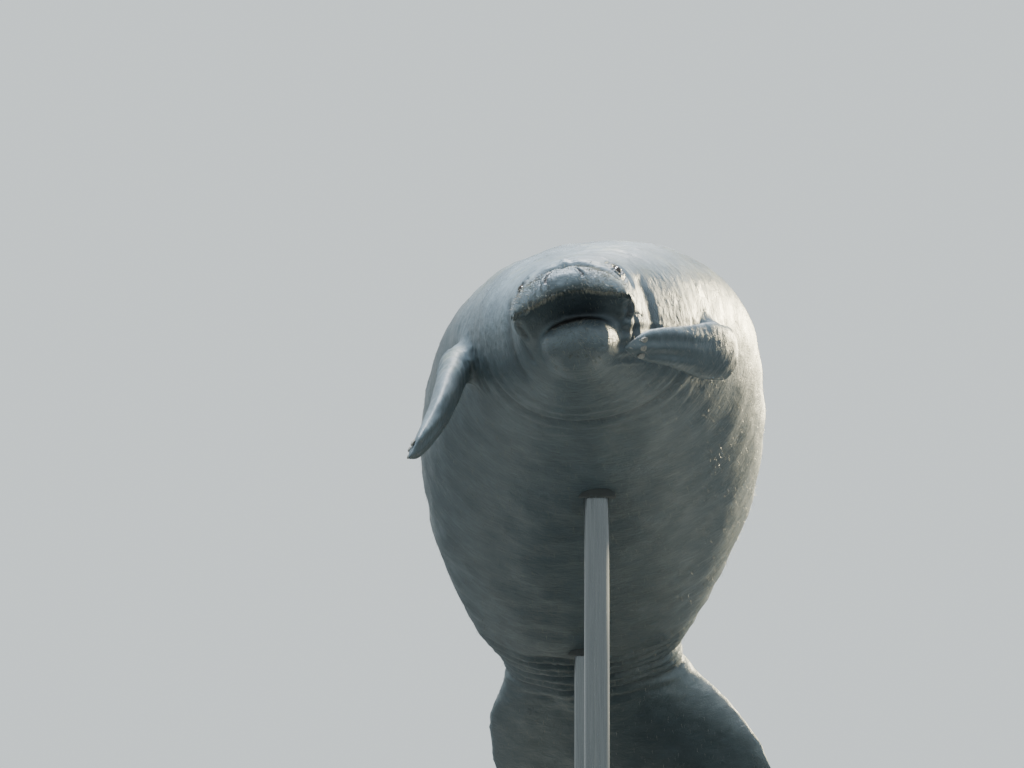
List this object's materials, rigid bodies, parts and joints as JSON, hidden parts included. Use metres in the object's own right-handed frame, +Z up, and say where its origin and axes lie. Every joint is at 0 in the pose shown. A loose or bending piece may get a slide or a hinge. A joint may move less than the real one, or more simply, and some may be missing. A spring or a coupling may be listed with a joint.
{
  "type": "manatee",
  "caption": "Life-size manatee model, arched over its belly with flippers forward and paddle tail drooping, held on a flat display base by two upright rods.",
  "frame": {"origin": "middle of the display base's underside, on the floor", "axes": "+Z up, -Y the way the head points, +X the animal's left"},
  "size_m": [1.1, 2.569, 1.7264],
  "materials": {
    "skin": "satin",
    "eye": "gloss",
    "nail": "satin",
    "rod_steel": "brushed",
    "base_paint": "satin"
  },
  "bodies": {
    "root": {"head": "skin", "lower_jaw": "skin", "neck": "skin", "trunk": "skin", "tail_stock": "skin", "tail_fluke": "skin", "flipper_left": "skin", "flipper_right": "skin", "eye_left": "eye", "eye_right": "eye", "flipper_left_nail_1": "nail", "flipper_left_nail_2": "nail", "flipper_left_nail_3": "nail", "flipper_right_nail_1": "nail", "flipper_right_nail_2": "nail", "flipper_right_nail_3": "nail", "stand_rod_front": "rod_steel", "stand_rod_rear": "rod_steel", "stand_flange_front": "rod_steel", "stand_flange_rear": "rod_steel", "stand_base": "base_paint"}
  },
  "joints": []
}
